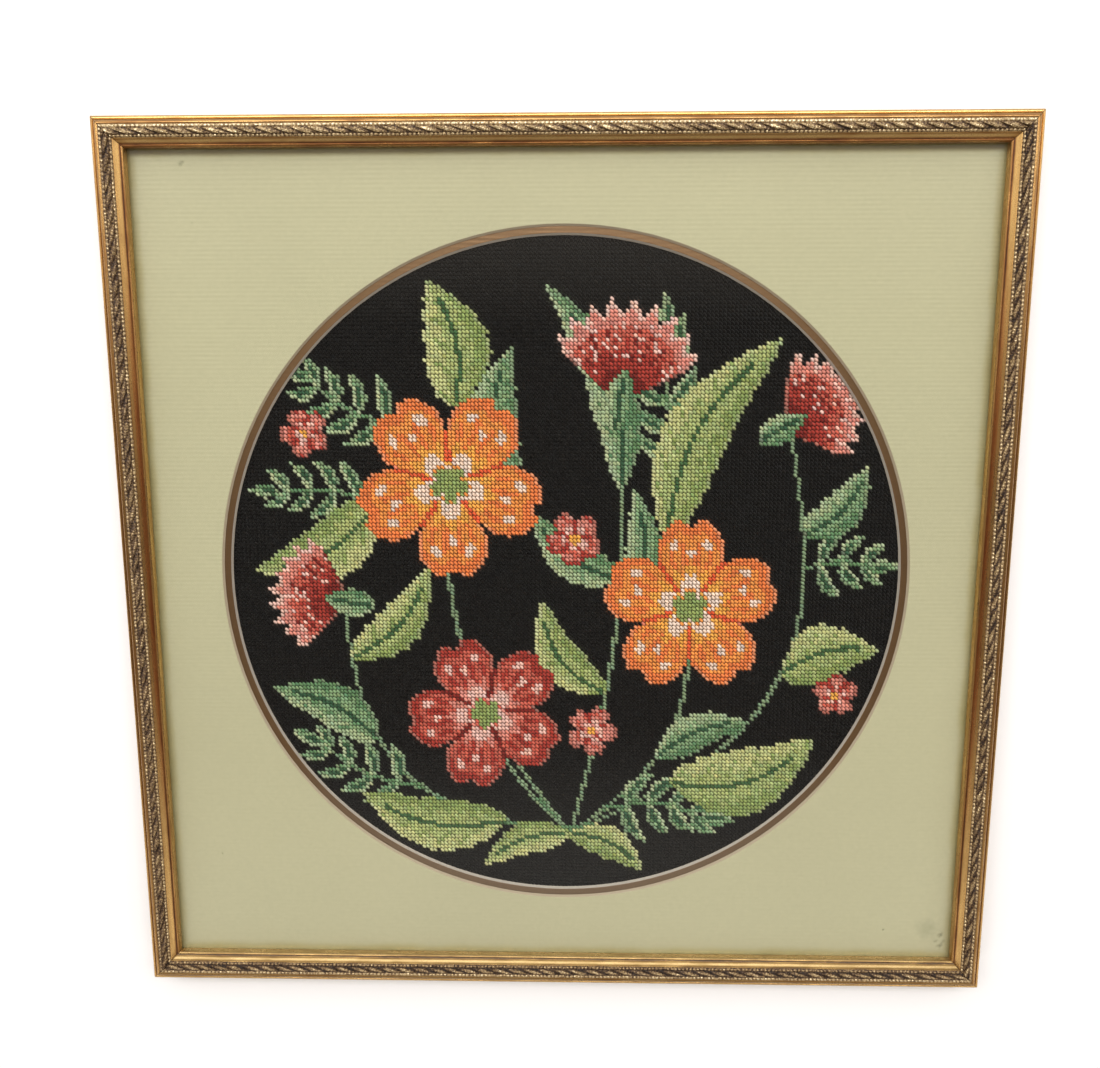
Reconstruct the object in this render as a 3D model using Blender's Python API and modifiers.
"""A framed needlepoint: a round window of wool tent stitch behind two mats and glass, in a gilt
rope-and-bead moulding.

The frame lies on its back. The origin is the middle of the back, +Z comes out of the picture,
+Y is the top of the picture and +X its right side. Sizes below are in millimetres and become
metres at the end.
"""
import math

import bmesh
import bpy
import numpy as np
from mathutils import Matrix

MM = 0.001

# Driving sizes, in millimetres
FRAME_SIDE = 476.0
MOULDING_WIDTH = 15.0
FIT_GAP = 0.3

# The sheets in the rabbet, counted from the back
BACK_RECESS = 0.8
BACKING_THICKNESS = 3.0
CANVAS_THICKNESS = 1.8
MAT_THICKNESS = 1.2
GLASS_THICKNESS = 2.0
RABBET_WIDTH = 6.0
SHEET_CLEARANCE = 1.0
CANVAS_SHORTFALL = 4.0

# The two round windows, at the upper edge of each bevel. They were cut a little off the middle.
WINDOW_CENTRE = (0.5, -2.0)
OUTER_WINDOW_RADIUS = 187.9
INNER_MAT_REVEAL = 3.3
BEVEL_RUN = 1.1
WINDOW_SEGMENTS = 128
GLASS_SEAM = 0.3

# Heights of the stack, worked out upwards from the back
BACKING_BOTTOM = BACK_RECESS
CANVAS_BOTTOM = BACKING_BOTTOM + BACKING_THICKNESS + FIT_GAP
INNER_MAT_BOTTOM = CANVAS_BOTTOM + CANVAS_THICKNESS + FIT_GAP
OUTER_MAT_BOTTOM = INNER_MAT_BOTTOM + MAT_THICKNESS + FIT_GAP
GLASS_BOTTOM = OUTER_MAT_BOTTOM + MAT_THICKNESS + FIT_GAP
LIP_BOTTOM = GLASS_BOTTOM + GLASS_THICKNESS + FIT_GAP

RABBET_WALL = MOULDING_WIDTH - RABBET_WIDTH
SHEET_SIDE = FRAME_SIDE - 2 * (RABBET_WALL + SHEET_CLEARANCE)
CANVAS_SIDE = SHEET_SIDE - CANVAS_SHORTFALL

# Half of the moulding's face, from the back over the outer shoulder to the rope.
# Columns: distance in from the outer edge, height above the back.
SHOULDER = (
    (0.00, 0.0),
    (0.00, 17.2),
    (0.25, 18.1),
    (0.85, 18.7),
    (1.55, 18.8),
    (1.85, 18.4),
    (2.20, 18.8),
    (2.75, 19.8),
    (3.50, 20.4),
    (4.30, 20.5),
)

# The other half: the gold cove, the groove and the lip, down to the rabbet.
COVE_AND_LIP = (
    (10.90, 18.3),
    (11.50, 17.3),
    (12.40, 16.4),
    (13.40, 15.9),
    (13.60, 15.6),
    (13.90, 15.8),
    (14.45, 15.5),
    (14.85, 14.9),
    (MOULDING_WIDTH, 14.2),
    (MOULDING_WIDTH, LIP_BOTTOM),
    (RABBET_WALL, LIP_BOTTOM),
    (RABBET_WALL, 0.0),
)

# The ornament lies on a plane that falls towards the picture
ORNAMENT_OUTER = (4.70, 20.30)
ORNAMENT_INNER = (10.75, 18.10)
BEAD_RADIUS = 0.80
BEAD_ARC_STEPS = 4
ROPE_HEIGHT = 1.90
STRAND_DIP = 0.42
STRAND_PITCH = 9.04
STEPS_PER_STRAND = 4
ROPE_ACROSS = 4


def new_collection(name):
    """A collection linked to the scene."""
    collection = bpy.data.collections.new(name)
    bpy.context.scene.collection.children.link(collection)
    return collection


def finish(name, hex_colour, roughness, metallic=0.0):
    """A Principled material from an sRGB hex colour."""
    channels = [int(hex_colour[i:i + 2], 16) / 255.0 for i in (0, 2, 4)]
    linear = [c / 12.92 if c <= 0.04045 else ((c + 0.055) / 1.055) ** 2.4 for c in channels]
    material = bpy.data.materials.new(name)
    material.use_nodes = True
    shader = material.node_tree.nodes["Principled BSDF"]
    shader.inputs["Base Color"].default_value = (*linear, 1.0)
    shader.inputs["Roughness"].default_value = roughness
    shader.inputs["Metallic"].default_value = metallic
    return material


def new_object(name, mesh, material, collection, location=(0.0, 0.0, 0.0)):
    """One named sub-part, placed in millimetres under the frame's empty."""
    part = bpy.data.objects.new(name, mesh)
    mesh.materials.append(material)
    part.location = [value * MM for value in location]
    collection.objects.link(part)
    part.parent = bpy.data.objects["picture_frame"]
    return part


def ornament_point(along, above):
    """A point of the ornament's cross-section.

    along runs from the outer end of the falling plane to the inner one, above stands square to
    it. Returns distance in from the outer edge and height.
    """
    outer = np.array(ORNAMENT_OUTER)
    run = np.array(ORNAMENT_INNER) - outer
    run /= np.linalg.norm(run)
    square = np.array((-run[1], run[0]))
    return tuple(outer + along * run + above * square)


def bead_arc(centre):
    """The half-round ridge that stands for one row of beads, with no step at its feet."""
    angles = np.linspace(math.pi, 0.0, BEAD_ARC_STEPS + 1)
    return [ornament_point(centre + BEAD_RADIUS * math.cos(a), BEAD_RADIUS * math.sin(a))
            for a in angles]


def moulding_section():
    """The whole closed cross-section, without the rope, and the rope's two feet.

    Returns the points in order and the index of the rope's outer foot. The next point in the
    list is its inner foot.
    """
    width = float(np.linalg.norm(np.array(ORNAMENT_INNER) - np.array(ORNAMENT_OUTER)))
    outer_row = bead_arc(BEAD_RADIUS)
    inner_row = bead_arc(width - BEAD_RADIUS)
    points = [*SHOULDER, *outer_row, *inner_row, *COVE_AND_LIP]
    return points, len(SHOULDER) + len(outer_row) - 1


def rope_section(half_width, turn):
    """Inner points of the rope across one section, for a turn of the twist from 0 to 1.

    A half ellipse as tall as the rope, lowered along the slanting valleys between strands.
    """
    across = np.linspace(-1.0, 1.0, ROPE_ACROSS + 1)[1:-1]
    round_top = np.sqrt(1.0 - across ** 2)
    strand = np.abs(np.cos(math.pi * (turn + across / 2.0)))
    height = ROPE_HEIGHT * round_top * (1.0 - STRAND_DIP + STRAND_DIP * strand)
    return across * half_width, height


def rail_mesh(name):
    """A mitred length of moulding along X, its outer edge at y = 0 and its face up.

    A point at distance d from the outer edge runs from x = -L/2 + d to L/2 - d, so both ends
    are cut at 45 degrees. Straight members are one long face each. The rope is a loft with
    four sections to a strand, whose valleys slant across it.
    """
    section, foot = moulding_section()
    half = FRAME_SIDE / 2.0 - FIT_GAP / math.sqrt(2.0)
    mesh = bmesh.new()

    def vertex(point, share):
        distance, height = point
        run = half - distance
        return mesh.verts.new(((-run + 2.0 * run * share) * MM, distance * MM, height * MM))

    start = [vertex(point, 0.0) for point in section]
    end = [vertex(point, 1.0) for point in section]

    outer_foot = np.array(section[foot])
    inner_foot = np.array(section[foot + 1])
    middle = (outer_foot + inner_foot) / 2.0
    run = (inner_foot - outer_foot) / np.linalg.norm(inner_foot - outer_foot)
    square = np.array((-run[1], run[0]))
    half_width = float(np.linalg.norm(inner_foot - outer_foot)) / 2.0

    length = 2.0 * (half - middle[0])
    strands = round(length / STRAND_PITCH)
    steps = strands * STEPS_PER_STRAND
    rows = []
    for step in range(steps + 1):
        share = step / steps
        across, height = rope_section(half_width, share * strands)
        inside = [vertex(tuple(middle + u * run + h * square), share)
                  for u, h in zip(across, height)]
        if step == 0:
            feet = start[foot:foot + 2]
        elif step == steps:
            feet = end[foot:foot + 2]
        else:
            feet = [vertex(outer_foot, share), vertex(inner_foot, share)]
        rows.append([feet[0], *inside, feet[1]])

    for row, following in zip(rows, rows[1:]):
        for i in range(len(row) - 1):
            mesh.faces.new((row[i], following[i], following[i + 1], row[i + 1]))

    count = len(section)
    for i in range(count):
        j = (i + 1) % count
        if i == foot:
            continue
        border = [start[i], end[i], end[j], start[j]]
        if i + 1 == foot:
            border = [start[i], end[i], *[row[0] for row in reversed(rows)]]
        if i == foot + 1:
            border = [*[row[-1] for row in rows], end[j], start[j]]
        mesh.faces.new(border)

    ring_start = [*start[:foot], *rows[0], *start[foot + 2:]]
    ring_end = [*end[:foot], *rows[-1], *end[foot + 2:]]
    mesh.faces.new(ring_start)
    mesh.faces.new(list(reversed(ring_end)))
    bmesh.ops.triangulate(mesh, faces=mesh.faces[:], ngon_method="EAR_CLIP")
    bmesh.ops.recalc_face_normals(mesh, faces=mesh.faces[:])

    data = bpy.data.meshes.new(name)
    mesh.to_mesh(data)
    mesh.free()
    return data


def make_rails(gilt, collection):
    """Four mitred rails: one shape, turned round the frame's middle."""
    turns = {"rail_bottom": 0, "rail_right": 1, "rail_top": 2, "rail_left": 3}
    shape = rail_mesh("moulding_length")
    shape.materials.append(gilt)
    for name, quarter_turns in turns.items():
        rail = bpy.data.objects.new(name, shape)
        angle = quarter_turns * math.pi / 2.0
        distance = FRAME_SIDE / 2.0 * MM
        rail.rotation_euler = (0.0, 0.0, angle)
        rail.location = (distance * math.sin(angle), -distance * math.cos(angle), 0.0)
        collection.objects.link(rail)
        rail.parent = bpy.data.objects["picture_frame"]


def slab(name, side, thickness):
    """A square sheet, its underside at z = 0."""
    mesh = bmesh.new()
    bmesh.ops.create_cube(mesh, size=1.0)
    bmesh.ops.transform(mesh, matrix=Matrix.Diagonal((side * MM, side * MM, thickness * MM, 1.0)),
                        verts=mesh.verts)
    bmesh.ops.translate(mesh, vec=(0.0, 0.0, thickness * MM / 2.0), verts=mesh.verts)
    data = bpy.data.meshes.new(name)
    mesh.to_mesh(data)
    mesh.free()
    return data


def window_cutter(name, upper_radius, collection):
    """A cone that cuts a round window with a bevel that narrows downwards."""
    margin = 0.5
    slope = BEVEL_RUN / MAT_THICKNESS
    depth = MAT_THICKNESS + 2.0 * margin
    mesh = bmesh.new()
    bmesh.ops.create_cone(
        mesh, cap_ends=True, segments=WINDOW_SEGMENTS,
        radius1=(upper_radius - BEVEL_RUN - margin * slope) * MM,
        radius2=(upper_radius + margin * slope) * MM,
        depth=depth * MM)
    bmesh.ops.translate(mesh, vec=(0.0, 0.0, MAT_THICKNESS * MM / 2.0), verts=mesh.verts)
    data = bpy.data.meshes.new(name)
    mesh.to_mesh(data)
    mesh.free()
    cutter = bpy.data.objects.new(name, data)
    cutter.hide_render = True
    cutter.display_type = "WIRE"
    collection.objects.link(cutter)
    return cutter


def make_mat(name, upper_radius, bottom, material, collection, cutters):
    """A square mat board with one round bevelled window."""
    mat = new_object(name, slab(name, SHEET_SIDE, MAT_THICKNESS), material, collection,
                     (0.0, 0.0, bottom))
    cutter = window_cutter(name + "_window", upper_radius, cutters)
    cutter.location = (WINDOW_CENTRE[0] * MM, WINDOW_CENTRE[1] * MM, bottom * MM)
    cut = mat.modifiers.new("window", "BOOLEAN")
    cut.operation = "DIFFERENCE"
    cut.solver = "EXACT"
    cut.object = cutter
    return mat


def make_glass(material, collection):
    """A pane with its sharp edges rubbed down."""
    pane = new_object("glass_pane", slab("glass_pane", SHEET_SIDE, GLASS_THICKNESS), material,
                      collection, (0.0, 0.0, GLASS_BOTTOM))
    seam = pane.modifiers.new("seamed edge", "BEVEL")
    seam.width = GLASS_SEAM * MM
    seam.segments = 1
    return pane


def main():
    """Builds the whole framed needlepoint."""
    for old in list(bpy.data.objects):
        bpy.data.objects.remove(old, do_unlink=True)
    parts = new_collection("framed_needlepoint")
    cutters = new_collection("window_cutters")
    centre = bpy.data.objects.new("picture_frame", None)
    parts.objects.link(centre)

    make_rails(finish("gilt_wood", "C89A5B", 0.35, 0.8), parts)
    make_glass(finish("clear_glass", "F2F5F2", 0.05), parts)
    make_mat("outer_mat", OUTER_WINDOW_RADIUS, OUTER_MAT_BOTTOM,
             finish("sage_mat_board", "C6C296", 0.9), parts, cutters)
    inner_radius = OUTER_WINDOW_RADIUS - BEVEL_RUN - INNER_MAT_REVEAL
    make_mat("inner_mat", inner_radius, INNER_MAT_BOTTOM,
             finish("brown_mat_board", "6B5239", 0.8), parts, cutters)
    new_object("needlepoint_canvas", slab("needlepoint_canvas", CANVAS_SIDE, CANVAS_THICKNESS),
               finish("wool_tent_stitch", "2A2826", 0.95), parts, (0.0, 0.0, CANVAS_BOTTOM))
    new_object("backing_board", slab("backing_board", SHEET_SIDE, BACKING_THICKNESS),
               finish("brown_hardboard", "8A6B4A", 0.85), parts, (0.0, 0.0, BACKING_BOTTOM))


main()
